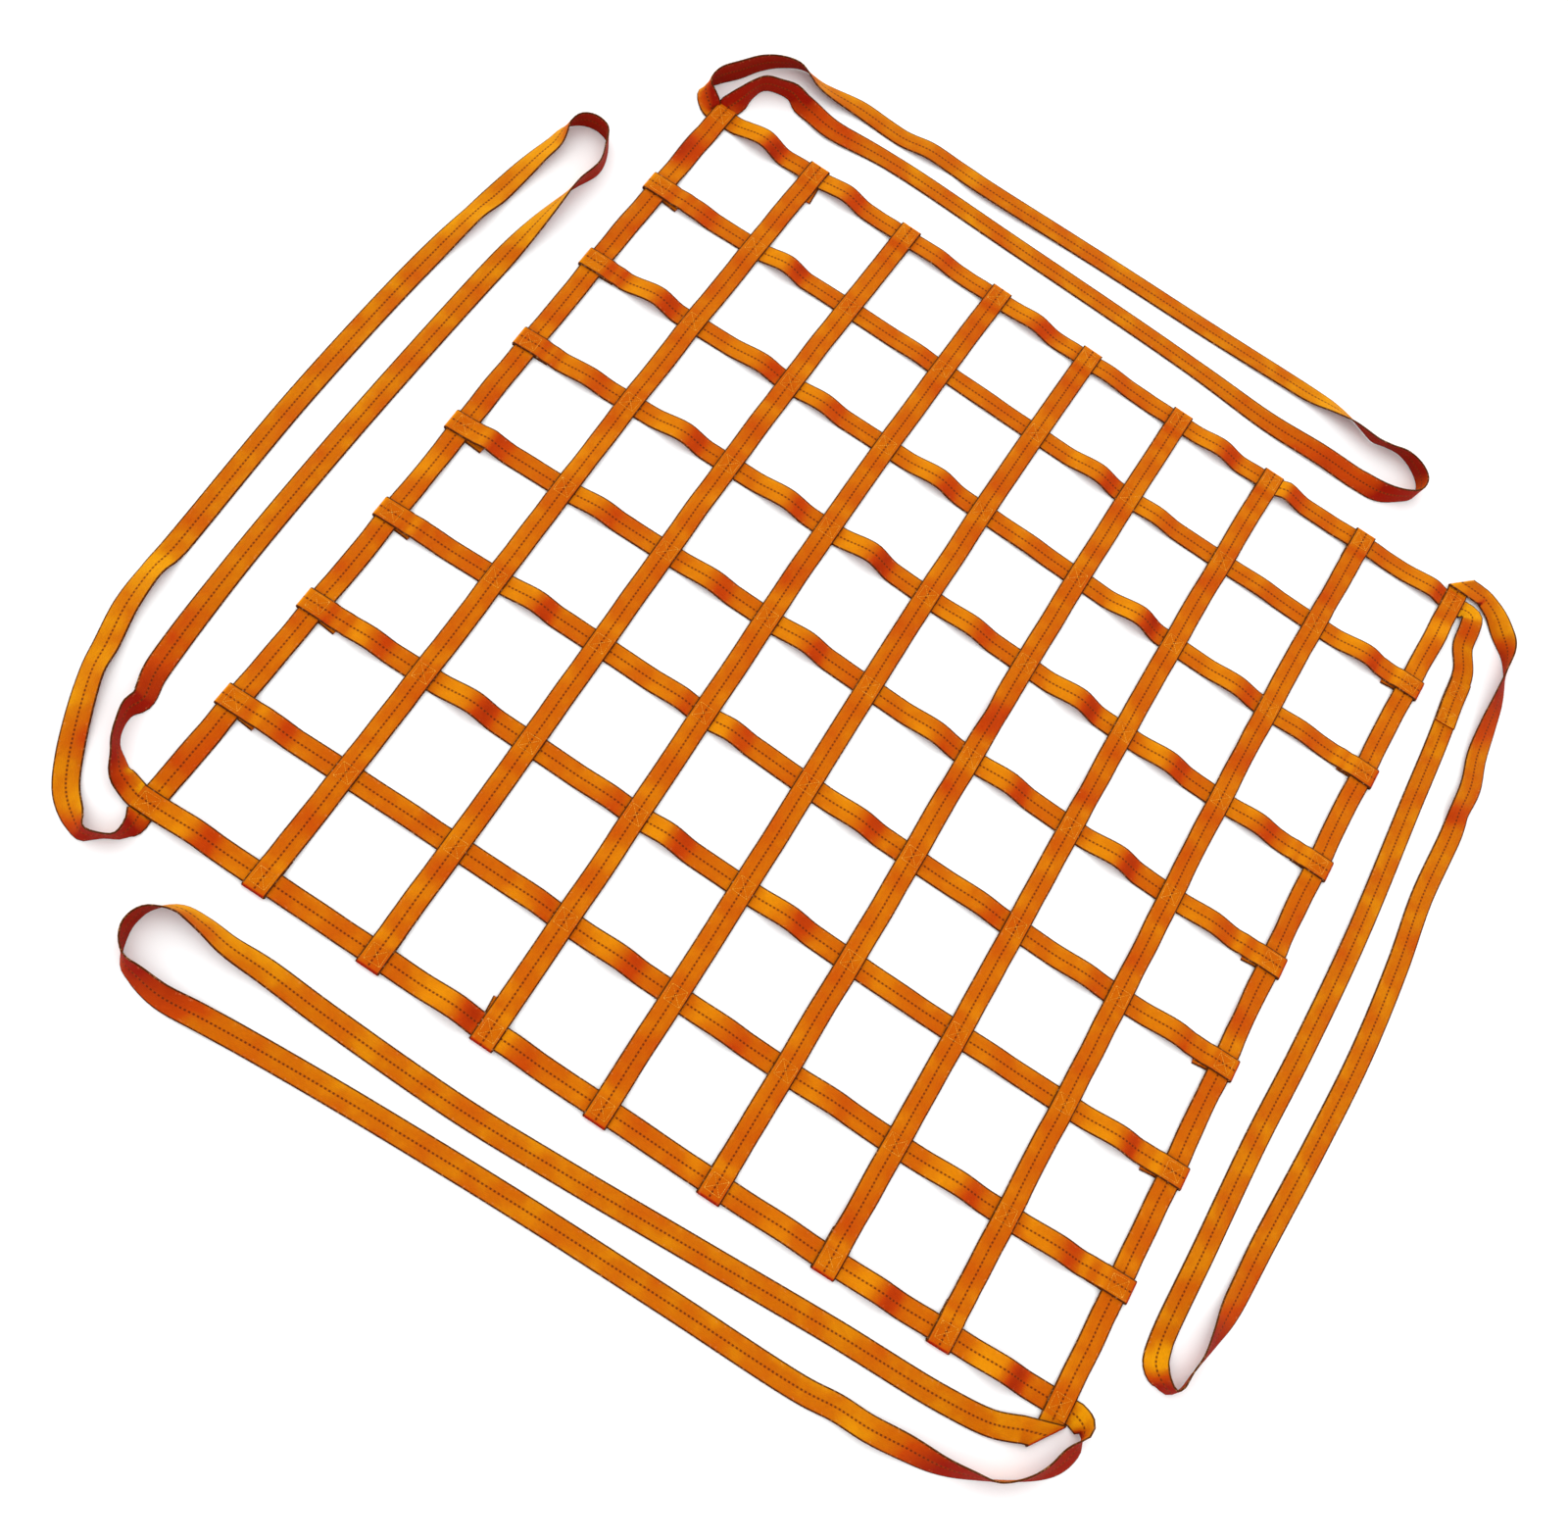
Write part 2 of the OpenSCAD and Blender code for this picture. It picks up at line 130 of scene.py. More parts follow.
# Each sling's route, from its own corner: along the net's edge, outward, tilt, lift above the floor
ROUTES = {
    "back": [
        (0, 0.0175, 0, 0.0028), (0.01, 0.04, 55, 0), (0.015, 0.065, 75, 0), (0.025, 0.09, 90, 0),
        (0.045, 0.1, 95, 0), (0.07, 0.105, 80, 0), (0.09, 0.1, 45, 0), (0.11, 0.1, 20, 0.002),
        (0.15, 0.095, 15, 0.002), (0.25, 0.11, 0, 0), (0.5, 0.11, 0, 0), (0.85, 0.105, 0, 0),
        (1, 0.095, 10, 0), (1.1, 0.095, 20, 0.002), (1.18, 0.095, 25, 0), (1.215, 0.095, 60, 0),
        (1.245, 0.11, 85, 0), (1.265, 0.13, 90, 0), (1.265, 0.155, 95, 0), (1.245, 0.175, 85, 0),
        (1.215, 0.185, 70, 0), (1.185, 0.18, 60, 0), (1.165, 0.175, 70, 0), (1.12, 0.185, 50, 0),
        (1.08, 0.19, 25, 0), (1.035, 0.19, 5, 0), (0.85, 0.185, 0, 0), (0.6, 0.18, 0, 0),
        (0.4, 0.17, 0, 0.005), (0.35, 0.175, 0, 0), (0.3, 0.17, 0, 0.006), (0.25, 0.165, 0, 0),
        (0.17, 0.165, 0, 0.002), (0.1, 0.155, 30, 0), (0.055, 0.16, 60, 0), (0.025, 0.145, 80, 0),
        (0, 0.12, 95, 0), (-0.02, 0.085, 105, 0), (-0.04, 0.05, 100, 0), (-0.045, 0.02, 60, 0),
        (-0.0175, 0, 0, 0),
    ],
    "right": [
        (0, 0.0175, 0, 0), (0, 0.028, 0, 0.003), (0.009, 0.037, 5, 0.008), (0.028, 0.042, 5, 0.005),
        (0.06, 0.047, 0, 0), (0.1, 0.065, 0, 0), (0.165, 0.07, 0, 0), (0.23, 0.075, 0, 0),
        (0.35, 0.08, 0, 0), (0.6, 0.09, 0, 0.002), (0.8, 0.09, 0, 0), (0.95, 0.085, 0, 0),
        (1.12, 0.085, 0, 0), (1.26, 0.085, 0, 0), (1.29, 0.09, 25, 0), (1.305, 0.105, 70, 0),
        (1.31, 0.12, 85, 0), (1.3, 0.13, 75, 0), (1.275, 0.135, 70, 0), (1.25, 0.14, 70, 0),
        (1.21, 0.145, 45, 0), (1.17, 0.15, 15, 0), (1.07, 0.155, 0, 0), (0.9, 0.165, 0, 0),
        (0.75, 0.17, 0, 0), (0.6, 0.165, 0, 0), (0.48, 0.155, 0, 0), (0.35, 0.155, 0, 0),
        (0.325, 0.15, 15, 0.002), (0.275, 0.15, 0, 0.006), (0.22, 0.14, 5, 0.002), (0.165, 0.135, 20, 0),
        (0.11, 0.13, 40, 0), (0.06, 0.12, 70, 0), (0.03, 0.11, 100, 0), (0, 0.09, 145, 0),
        (-0.025, 0.07, 170, 0.002), (-0.04, 0.042, 180, 0.0047),
    ],
    "front": [
        (0.0304, 0.0524, 180, 0.006), (0.065, 0.066, 180, 0.001), (0.14, 0.075, 180, 0),
        (0.3, 0.08, 180, 0), (0.5, 0.09, 180, 0), (0.7, 0.1, 180, 0), (0.85, 0.105, 180, 0),
        (1.05, 0.1, 180, 0), (1.15, 0.095, 190, 0.002), (1.205, 0.095, 210, 0.002), (1.245, 0.09, 225, 0),
        (1.28, 0.09, 240, 0), (1.3, 0.1, 255, 0), (1.315, 0.115, 275, 0), (1.32, 0.14, 285, 0),
        (1.31, 0.165, 275, 0), (1.295, 0.18, 250, 0), (1.275, 0.185, 230, 0), (1.235, 0.19, 210, 0),
        (1.18, 0.185, 185, 0.002), (1.12, 0.18, 180, 0), (1, 0.173, 180, 0), (0.85, 0.167, 180, 0),
        (0.7, 0.163, 180, 0), (0.5, 0.161, 180, 0), (0.3, 0.16, 180, 0), (0.25, 0.155, 180, 0.002),
        (0.205, 0.155, 175, 0.005), (0.155, 0.15, 200, 0.004), (0.105, 0.145, 230, 0),
        (0.065, 0.135, 253, 0), (0.035, 0.125, 274, 0), (0.005, 0.105, 262, 0), (-0.02, 0.08, 238, 0),
        (-0.035, 0.055, 218, 0), (-0.041, 0.03, 230, 0.002), (-0.04, 0.012, 300, 0.002),
        (-0.025, 0, 355, 0), (-0.0175, 0, 360, 0),
    ],
    "left": [
        (0, 0.0175, 0, 0.0028), (0.005, 0.035, 5, 0.003), (0.01, 0.05, 40, 0.001),
        (0.025, 0.065, 70, 0), (0.04, 0.08, 83, 0), (0.06, 0.09, 86, 0), (0.085, 0.095, 74, 0),
        (0.105, 0.09, 45, 0), (0.14, 0.1, 35, 0), (0.17, 0.105, 20, 0), (0.3, 0.115, 0, 0),
        (0.5, 0.12, 0, 0), (0.7, 0.12, 0, 0), (0.95, 0.115, 0, 0), (1.025, 0.11, -25, 0),
        (1.08, 0.105, -50, 0), (1.13, 0.1, -75, 0), (1.18, 0.09, -90, 0), (1.215, 0.1, -100, 0),
        (1.24, 0.115, -90, 0), (1.245, 0.14, -90, 0), (1.235, 0.16, -95, 0), (1.215, 0.17, -110, 0),
        (1.18, 0.17, -150, 0), (1.145, 0.175, -155, 0), (1.1, 0.18, -170, 0.002),
        (1.045, 0.185, -180, 0.004), (0.995, 0.19, -160, 0.002), (0.89, 0.2, -180, 0),
        (0.6, 0.205, -180, 0), (0.3, 0.195, -180, 0), (0.26, 0.195, -155, 0), (0.2, 0.19, -170, 0.003),
        (0.14, 0.175, -175, 0.004), (0.1, 0.165, -160, 0.002), (0, 0.12, -180, 0.002),
        (-0.045, 0.09, -175, 0), (-0.07, 0.055, -145, 0), (-0.078, 0.036, -108, 0),
        (-0.068, 0.015, -80, 0), (-0.058, 0, -84, 0), (-0.04, -0.005, -110, 0), (-0.0175, 0, -180, 0),
    ],
}

# How the straps lie in each cell, from left to right or from front to back: height of the hump in
# hump units, and tenths of the cell from its start to the peak
HUMP_UNIT = 0.00125
FLAT_CELL = (1, 5)
ROW_HUMPS = {
    1: [(6, 3), (2, 6), (4, 8), (8, 5), (5, 4.5), (4, 4), (6, 6), (8, 4.5)],
    2: [(7, 5), (10, 4.5), (3, 8), (8, 2.5), (8, 4), (2, 5), (2, 3), (9, 5)],
    3: [(3, 3), (8, 3.5), (4, 8.5), (7, 2), (8, 5), (4, 7), (5, 7), (6, 5.5)],
    4: [(6, 2), (5, 3), (6, 4.5), (8, 3.5), (7, 7), (7, 3.5), (10, 4.5), (6, 4)],
    5: [(5, 6), (9, 5.5), (7, 6), (12, 4), (6, 4.5), (11, 5.5), (8, 4.5), (6, 3.5)],
    6: [(10, 6.5), (6, 7.5), (6, 3), (8, 5.5), (2, 5), (12, 6.5), (6, 7), (3, 3)],
    7: [(4, 3.5), (9, 3), (2, 8), (1, 5), (8, 7), (4, 2.5), (2, 4), (8, 5.5)]}
BORDER_HUMPS = {
    "border_front": [(7, 3.5), (1, 5), (11, 7.5), (4, 1.5), (2, 2), (4, 7), (8, 4), (11, 5)],
    "border_back": [(12, 4.5), (8, 3), (4, 3), (7, 4), (3, 2), (8, 4.5), (7, 1), (5, 8.5)]}

# Lean of a border or a column in one cell where it shows, in degrees, and the share of the cell
# where it is most
LEANS = {
    ("border_left", 0): (12, 0.5), ("border_left", 3): (-7, 0.5), ("border_left", 4): (7, 0.3),
    ("border_left", 6): (8, 0.4), ("border_left", 7): (20, 0.55), ("border_right", 2): (6, 0.7),
    ("border_right", 3): (9, 0.45), ("border_right", 4): (9, 0.25), ("border_right", 7): (-14, 0.6),
    (1, 0): (6, 0.5), (1, 4): (-7, 0.3), (2, 5): (6, 0.4), (3, 4): (10, 0.5), (4, 0): (8, 0.45),
    (4, 4): (7, 0.7), (4, 6): (6, 0.35), (5, 0): (6, 0.35), (5, 1): (6, 0.7), (5, 3): (8, 0.8),
    (5, 4): (18, 0.4), (6, 0): (10, 0.3), (6, 4): (10, 0.3), (6, 6): (7, 0.8), (7, 3): (6, 0.3),
    (7, 4): (6, 0.45), (7, 5): (8, 0.5), (7, 7): (8, 0.25), (3, 7): (6, 0.5)}

# Length and sideways shift of the folded tail at a strap's start, then at its end, in millimetres
PLAIN_TAILS = (22, 0, 22, 0)
ROW_TAILS = {
    1: (25, -4, 23, 0), 2: (27, -5, 26, -5), 3: (24, -4, 25, -6), 4: (28, -5, 25, -5),
    6: (22, 0, 22, -2), 7: (26, -5, 25, -5)}
COLUMN_TAILS = {1: (22, 0, 32, -6), 3: (26, 5, 22, 0)}


# ---- Camera ----

def add_camera():
    """The camera stands where the photo was taken from, above and a little in front of the net."""
    data = bpy.data.cameras.new("camera")
    data.lens = 38.71
    data.sensor_width = 36
    camera = bpy.data.objects.new("camera", data)
    camera.location = (-0.0624, -1.0652, 2.1878)
    camera.rotation_euler = (math.radians(18.51), math.radians(-12.35), math.radians(31.44))
    bpy.context.scene.collection.objects.link(camera)
    bpy.context.scene.camera = camera


# ---- Mesh building ----

def unit(v):
    v = np.asarray(v, float)
    return v / np.maximum(np.linalg.norm(v, axis=-1, keepdims=True), 1e-12)


def bend_of_net(points):
    """The sewn mesh isn't quite square: moves points in its plane, and leaves its corners in place."""
    x, y = points[..., 0] / HALF, points[..., 1] / HALF
    mid_x, mid_y = np.cos(np.pi * x / 2), np.cos(np.pi * y / 2)
    wave_x, wave_y = np.sin(np.pi * x), np.sin(np.pi * y)
    moved = points.copy()
    moved[..., 0] -= 0.003 * wave_y + 0.004 * mid_y * (0.9 + 1.1 * mid_x + x - wave_x)
    moved[..., 1] += mid_y * (0.0155 * mid_x - 0.009) - 0.0045 * mid_x - (0.003 + 0.002 * mid_y) * wave_x
    moved[..., 1] += (0.0055 * mid_x - 0.0015) * wave_y + 0.002 * y * mid_x
    return moved


def mesh_object(name, points, faces, attributes, material):
    mesh = bpy.data.meshes.new(name)
    mesh.from_pydata(points.reshape(-1, 3).tolist(), [], faces)
    for key, values in attributes.items():
        layer = mesh.attributes.new(key, "FLOAT", "POINT")
        layer.data.foreach_set("value", np.asarray(values, np.float32).ravel())
    mesh.materials.append(material)
    mesh.polygons.foreach_set("use_smooth", [len(f) == 4 for f in faces])
    mesh.update()
    obj = bpy.data.objects.new(name, mesh)
    bpy.context.scene.collection.objects.link(obj)
    return obj


def ribbon(name, right, left, normal, s, material, bend=False):
    """A closed length of webbing with rounded edges, from its two edges, its face normal and the
    length so far at each ring. No ring goes below the floor."""
    share = (SECTION[:, 0] + 1) / 2
    points = right[:, None] * (1 - share)[:, None] + left[:, None] * share[:, None]
    points = points + normal[:, None] * (SECTION[:, 1] * HALF_T)[:, None]
    if bend:
        points = bend_of_net(points)
    points[..., 2] += np.maximum(0, -points[..., 2].min(1))[:, None]
    rings, sides = len(s), len(SECTION)
    along = np.repeat(s[:, None], sides, 1)
    across = np.broadcast_to(SECTION[:, 0] * HALF_W, along.shape)
    faces = []
    for k in range(rings - 1):
        for c in range(sides):
            d = (c + 1) % sides
            faces.append((k * sides + c, (k + 1) * sides + c, (k + 1) * sides + d, k * sides + d))
    first, last = rings * sides, (rings + 1) * sides
    faces.append(tuple(range(first, first + sides)))
    faces.append(tuple(reversed(range(last, last + sides))))
    points, along, across = (np.concatenate([v, v[:1], v[-1:]]) for v in (points, along, across))
    return mesh_object(name, points, faces, {"along": along, "across": across}, material)


def lengths(centres):
    return np.concatenate([[0], np.cumsum(np.linalg.norm(np.diff(centres, axis=0), axis=1))])


def strap(name, centres, across, offset, material, bend=False):
    """Webbing along a line of ring centres, with a direction across it at each ring."""
    way = unit(np.gradient(centres, axis=0))
    side = unit(across - way * (across * way).sum(1, keepdims=True))
    normal = np.cross(way, side)
    s = lengths(centres) + offset
    return ribbon(name, centres - side * HALF_W, centres + side * HALF_W, normal, s, material, bend)


# ---- Materials ----

class Graph:
    """A material's nodes. An input is a number, a colour or another node's output."""

    def __init__(self, name):
        self.material = bpy.data.materials.new(name)
        self.material.use_nodes = True
        self.tree = self.material.node_tree
        self.shader = self.tree.nodes["Principled BSDF"]

    def add(self, kind, *inputs, output=0, **settings):
        node = self.tree.nodes.new(kind)
        for key, value in settings.items():
            setattr(node, key, value)
        for socket, value in zip([s for s in node.inputs if s.enabled], inputs):
            self.put(socket, value)
        return node.outputs[output]

    def put(self, socket, value):
        if isinstance(value, bpy.types.NodeSocket):
            self.tree.links.new(value, socket)
        elif value is not None:
            socket.default_value = value

    def math(self, operation, a, b=0.0, c=0.0):
        node = self.tree.nodes.new("ShaderNodeMath")
        node.operation = operation
        for socket, value in zip(node.inputs, (a, b, c)):
            self.put(socket, value)
        return node.outputs[0]

    def band(self, value, low, high):
        """0 at low and 1 at high, with a smooth rise between them."""
        node = self.tree.nodes.new("ShaderNodeMapRange")
        node.interpolation_type = "SMOOTHSTEP"
        self.put(node.inputs["Value"], value)
        node.inputs["From Min"].default_value = low
        node.inputs["From Max"].default_value = high
        return node.outputs["Result"]

    def mix(self, share, a, b, blend="MIX"):
        node = self.tree.nodes.new("ShaderNodeMix")
        node.data_type = "RGBA"
        node.blend_type = blend
        sockets = {s.identifier: s for s in node.inputs}
        self.put(sockets["Factor_Float"], share)
        self.put(sockets["A_Color"], a)
        self.put(sockets["B_Color"], b)
        return [s for s in node.outputs if s.identifier == "Result_Color"][0]

    def shade(self, colour, share):
        """The colour times a grey."""
        return self.mix(1.0, colour, self.add("ShaderNodeCombineColor", share, share, share), "MULTIPLY")

    def attribute(self, name):
        return self.add("ShaderNodeAttribute", attribute_name=name, output=2)

    def noise(self, vector, scale, detail=2.0):
        node = self.tree.nodes.new("ShaderNodeTexNoise")
        self.put(node.inputs["Vector"], vector)
        node.inputs["Scale"].default_value = scale
        node.inputs["Detail"].default_value = detail
        return node.outputs["Fac"]

    def ramp(self, value, stops):
        node = self.tree.nodes.new("ShaderNodeValToRGB")
        self.put(node.inputs["Fac"], value)
        elements = node.color_ramp.elements
        while len(elements) < len(stops):
            elements.new(0.5)
        for element, (position, colour) in zip(elements, stops):
            element.position = position
            element.color = (*colour, 1)
        return node.outputs["Color"]

    def surface(self, colour, roughness, height, distance, sheen):
        bump = self.tree.nodes.new("ShaderNodeBump")
        bump.inputs["Distance"].default_value = distance
        bump.inputs["Strength"].default_value = 0.7
        self.put(bump.inputs["Height"], height)
        self.put(self.shader.inputs["Base Color"], colour)
        self.put(self.shader.inputs["Roughness"], roughness)
        self.put(self.shader.inputs["Normal"], bump.outputs["Normal"])
        self.shader.inputs["Sheen Weight"].default_value = sheen
        self.shader.inputs["Sheen Roughness"].default_value = 0.4
        self.shader.inputs["Sheen Tint"].default_value = (1.0, 0.45, 0.08, 1)
        self.shader.inputs["Specular IOR Level"].default_value = 0.04
        return self.material


def cells_of(g, value, pitch):
    """Where a length lies in its repeat: from 0 to 1."""
    return g.math("FRACT", g.math("DIVIDE", value, pitch))


def weave_height(g, along, across):
    """Fine twill ribs that slant one way on the left half and the other way on the right half."""
    slant = g.math("MULTIPLY", g.math("ABSOLUTE", across), 0.9)
    twill = g.math("SINE", g.math("MULTIPLY", g.math("ADD", along, slant), 2 * math.pi / TWILL_PITCH))
    rib = g.math("SINE", g.math("MULTIPLY", across, 2 * math.pi / RIB_PITCH))
    return g.math("MULTIPLY_ADD", rib, 0.35, twill)


def painted_light_colour(g, flat, green, dark, patchy):
    """Orange with painted light and shade: dark red where the face turns away from the key lamp's side,
    yellow where it turns towards it, wandering in random patches.
    """
    normal = g.add("ShaderNodeNewGeometry", output=1)
    facing_light = g.add("ShaderNodeVectorMath", normal, PAINTED_LIGHT_WAY, operation="DOT_PRODUCT", output=1)
    painted_light_and_patches = g.math("MULTIPLY_ADD", g.math("SUBTRACT", g.noise(flat, 20.0), 0.5), patchy, facing_light)
    # Ramp: painted shade in dark red, the flat orange, then a painted highlight in yellow
    return g.ramp(painted_light_and_patches, [
        (dark, (0.32, 0.008, 0.0006)), (0.52, (0.56, 0.4 * green, 0.0005)),
        (0.70, (0.62, green, 0.0003)), (0.88, (0.80, 2.1 * green, 0.0010))])


def add_tracer(g, colour, along, edge):
    """A reddish line along the middle with a row of dark dashes on it. Gives the dashes too."""
    line = g.band(edge, 0.0020, 0.0008)
    dash = cells_of(g, along, TRACER_PITCH)
    dot = g.math("MULTIPLY", g.band(dash, 0.02, 0.16), g.band(dash, 0.66, 0.52))
    dots = g.math("MULTIPLY", g.band(edge, 0.0017, 0.0009), dot)
    colour = g.mix(g.math("MULTIPLY", line, 0.35), colour, (0.42, 0.06, 0.002, 1))
    return g.mix(g.math("MULTIPLY", dots, 0.8), colour, (0.08, 0.015, 0.003, 1)), dots


def add_dark_edges(g, colour, flat, edge):
    """Dark edges, with a little pale fuzz worn up beside them."""
    edge_darkening = g.band(edge, 0.0150, 0.0161)
    colour = g.mix(g.math("MULTIPLY", edge_darkening, 0.95), colour, (0.065, 0.016, 0.002, 1))
    fuzz = g.math("MULTIPLY", g.band(edge, 0.010, 0.0165), g.band(g.noise(flat, 260.0, 4.0), 0.56, 0.72))
    return g.mix(g.math("MULTIPLY", fuzz, 0.35), colour, (0.85, 0.42, 0.16, 1))


def webbing_material(name, green, dark, patchy, seed):
    """Orange polyester webbing with a dotted tracer line, darker edges, painted light and shade, and a
    little wear.

    green is the green in its middle colour, dark the facing value where the painted shade is reddest,
    patchy how much the colour wanders, and seed moves the noise.
    """
    g = Graph(name)
    along, across = g.attribute("along"), g.attribute("across")
    edge = g.math("ABSOLUTE", across)
    flat = g.add("ShaderNodeCombineXYZ", along, across, seed)
    stretched = g.add("ShaderNodeCombineXYZ", g.math("MULTIPLY", along, 0.2), across, seed)

    streaks = g.noise(stretched, 900.0, 1.0)
    weave = weave_height(g, along, across)
    # Painted light and shade, from how each face turns towards the key lamp's side
    colour = painted_light_colour(g, flat, green, dark, patchy)
    colour = g.shade(colour, g.math("MULTIPLY_ADD", streaks, 0.30, 0.85))
    # Painted shade: a little darker where the weave is low, in its grooves
    colour = g.shade(colour, g.math("MULTIPLY_ADD", weave, 0.06, 0.95))
    colour, dots = add_tracer(g, colour, along, edge)
    colour = add_dark_edges(g, colour, flat, edge)

    rough = g.math("MULTIPLY_ADD", g.noise(flat, 90.0), 0.25, 0.5)
    height = g.math("SUBTRACT", weave, dots)
    return g.surface(colour, rough, height, 0.0004, 0.02)


def thread_material():
    """Twisted sewing thread, paler than the webbing, and fluffed up in places."""
    g = Graph("sewing_thread")
    along = g.attribute("along")
    twist = g.math("SINE", g.math("MULTIPLY", along, 2 * math.pi / TWIST_PITCH))
    place = g.add("ShaderNodeTexCoord", output=3)
    colour = g.ramp(g.noise(place, 160.0), [
        (0.30, (0.62, 0.16, 0.005)), (0.52, (0.86, 0.33, 0.02)), (0.72, (0.93, 0.46, 0.07))])
    # Painted shade: a little darker in the grooves of the twist
    colour = g.shade(colour, g.math("MULTIPLY_ADD", twist, 0.12, 0.9))
    rough = g.math("MULTIPLY_ADD", g.noise(place, 400.0), 0.3, 0.4)
    return g.surface(colour, rough, twist, 0.00015, 0.2)


# ---- Straps of the mesh ----

def ease(t):
    t = np.clip(t, 0, 1)
    return t * t * (3 - 2 * t)


def hump(u, start, peak, end):
    """0 before start and after end, 1 at the peak."""
    return ease((u - start) / (peak - start)) * ease((end - u) / (end - peak))


def support(u, places):
    """Distance to the nearest crossing's middle."""
    return np.abs(u[:, None] - np.array(places)[None]).min(1)


def row_height(u, tail):
    """Height of a row's centre: on the floor under the columns, then up over its tail and the border."""
    a = np.abs(u)
    tail_rise_start = INNER - tail - 0.014
    over_tail = ease((a - tail_rise_start) / 0.013)
    return LOW + LAYER * (over_tail + ease((a - (INNER - RISE_RUN)) / RISE_RUN))


def column_height(u, tail):
    """Height of a column's centre: over the rows, sagging between them, then up over the border."""
    a = np.abs(u)
    last_sag_end = INNER - tail - 0.01
    before_tail = ease((last_sag_end - a) / 0.02)
    sag = 0.75 * ease((support(u, CROSSINGS) - SAG_START) / SAG_RUN) * before_tail
    return LOW + LAYER * (1 - sag + ease((a - (INNER - RISE_RUN)) / RISE_RUN))


def border_height(u, under_start, under_end):
    """Height of a border's centre: over the tails, sagging between them, and over or under at a corner."""
    over = CROSSINGS + ([] if under_start else [-HALF]) + ([] if under_end else [HALF])
    sag = 0.7 * ease((support(u, over) - SAG_START) / SAG_RUN)
    for under, end in ((under_start, -u), (under_end, u)):
        if under:
            dip_start = INNER - 0.045
            sag = np.maximum(sag, ease((end - dip_start) / 0.035))
    return LOW + LAYER * (1 - sag)


def slack(humps, leans, place):
    """How loosely a strap lies in each cell: hump height and peak, lean and its place, and sway."""
    cells = []
    for k, (high, peak) in enumerate(humps):
        slight_lean = (draw.uniform(-3, 3), draw.uniform(0.3, 0.7))
        lean, lean_at = leans.get((place, k), slight_lean)
        sway = draw.uniform(-0.001, 0.001)
        cells.append((high * HUMP_UNIT, peak / 10, math.radians(lean), lean_at, sway))
    return cells


def loose_cells(u, cells):
    """Height, sideways shift and roll that the slack between the crossings adds along a strap."""
    height, shift, roll = (np.zeros_like(u) for _ in range(3))
    for k, (high, peak, lean, lean_at, sway) in enumerate(cells):
        t = (u - (k * PITCH - HALF + HALF_W)) / (PITCH - WIDTH)
        height += high * hump(t, max(peak - HUMP_RISE, -0.05), peak, min(peak + HUMP_FALL, 1.03))
        roll += lean * hump(t, max(lean_at - LEAN_REACH, 0.0), lean_at, min(lean_at + LEAN_REACH, 1.0))
        shift += sway * hump(t, 0.0, 0.5, 1.0)
    return height, shift, roll


def wrapped_line(top, tails, shifts):
    """Side view of a strap from one tail to the other: place along, sideways shift and height."""
    nose = OUTER + GAP
    angle = np.radians(np.linspace(-90, 90, NOSE_STEPS))
    run = np.linspace(0, 1, TAIL_STEPS, endpoint=False)
    parts = []
    for sign, tail, shift in zip((-1, 1), tails, shifts):
        inner_end = INNER - tail
        under = np.stack([sign * (inner_end + run * (nose - inner_end)), shift * (1 - run) ** 1.5,
                          np.full_like(run, LOW)], 1)
        turn = np.stack([sign * (nose + LAYER * np.cos(angle)), 0 * angle,
                         RAISED + LAYER * np.sin(angle)], 1)
        parts.append(np.concatenate([under, turn]))
    u = np.linspace(-nose, nose, int(2 * nose / RING_STEP))[1:-1]
    over = np.stack([u, 0 * u, top(u)], 1)
    return np.concatenate([parts[0], over, parts[1][::-1]])


def mesh_strap(name, index, place, upright, top, cells, tails, material):
    """A row or column of the mesh, folded round a border at each end."""
    start_tail, start_shift, end_tail, end_shift = (t / 1000 for t in tails)
    longest = max(start_tail, end_tail)
    line = wrapped_line(lambda u: top(u, longest), (start_tail, end_tail), (start_shift, end_shift))
    first = TAIL_STEPS + NOSE_STEPS
    last = len(line) - first
    height, shift, roll = (np.zeros(len(line)) for _ in range(3))
    height[first:last], shift[first:last], roll[first:last] = loose_cells(line[first:last, 0], cells)
    u, v, z = line[:, 0], line[:, 1] + shift, line[:, 2] + height
    up = np.array([0, 0, 1.0])
    if upright:
        centres = np.stack([place - v, u, z], 1)
        flat = np.array([-1.0, 0, 0])
    else:
        centres = np.stack([u, place + v, z], 1)
        flat = np.array([0, 1.0, 0])
    across = flat * np.cos(roll)[:, None] + up * np.sin(roll)[:, None]
    return strap(name, centres, across, index * STRAP_OFFSET, material, bend=True)


def border(name, index, corner_a, corner_b, under_start, under_end, cells, material):
    """A border from one corner to the other. Its hidden ends stop short, where a sling laps them."""
    start, end = (-OUTER + HIDDEN_LAP * under_start, OUTER - HIDDEN_LAP * under_end)
    u = np.linspace(start, end, int((end - start) / RING_STEP))
    height, shift, roll = loose_cells(u, cells)
    z = border_height(u, under_start, under_end) + height
    middle, way = (corner_a + corner_b) / 2, unit(corner_b - corner_a)
    left = np.array([-way[1], way[0]])
    plan = middle + way * u[:, None] + left * shift[:, None]
    across = np.concatenate([left * np.cos(roll)[:, None], np.sin(roll)[:, None]], 1)
    centres = np.concatenate([plan, z[:, None]], 1)
    return strap(name, centres, across, index * STRAP_OFFSET, material, bend=True)


# ---- Slings ----

def station_centre(s):
    tilt = math.radians(s[2])
    return np.array([s[0], s[1], s[3] + HALF_W * abs(math.sin(tilt)) + HALF_T * abs(math.cos(tilt))])


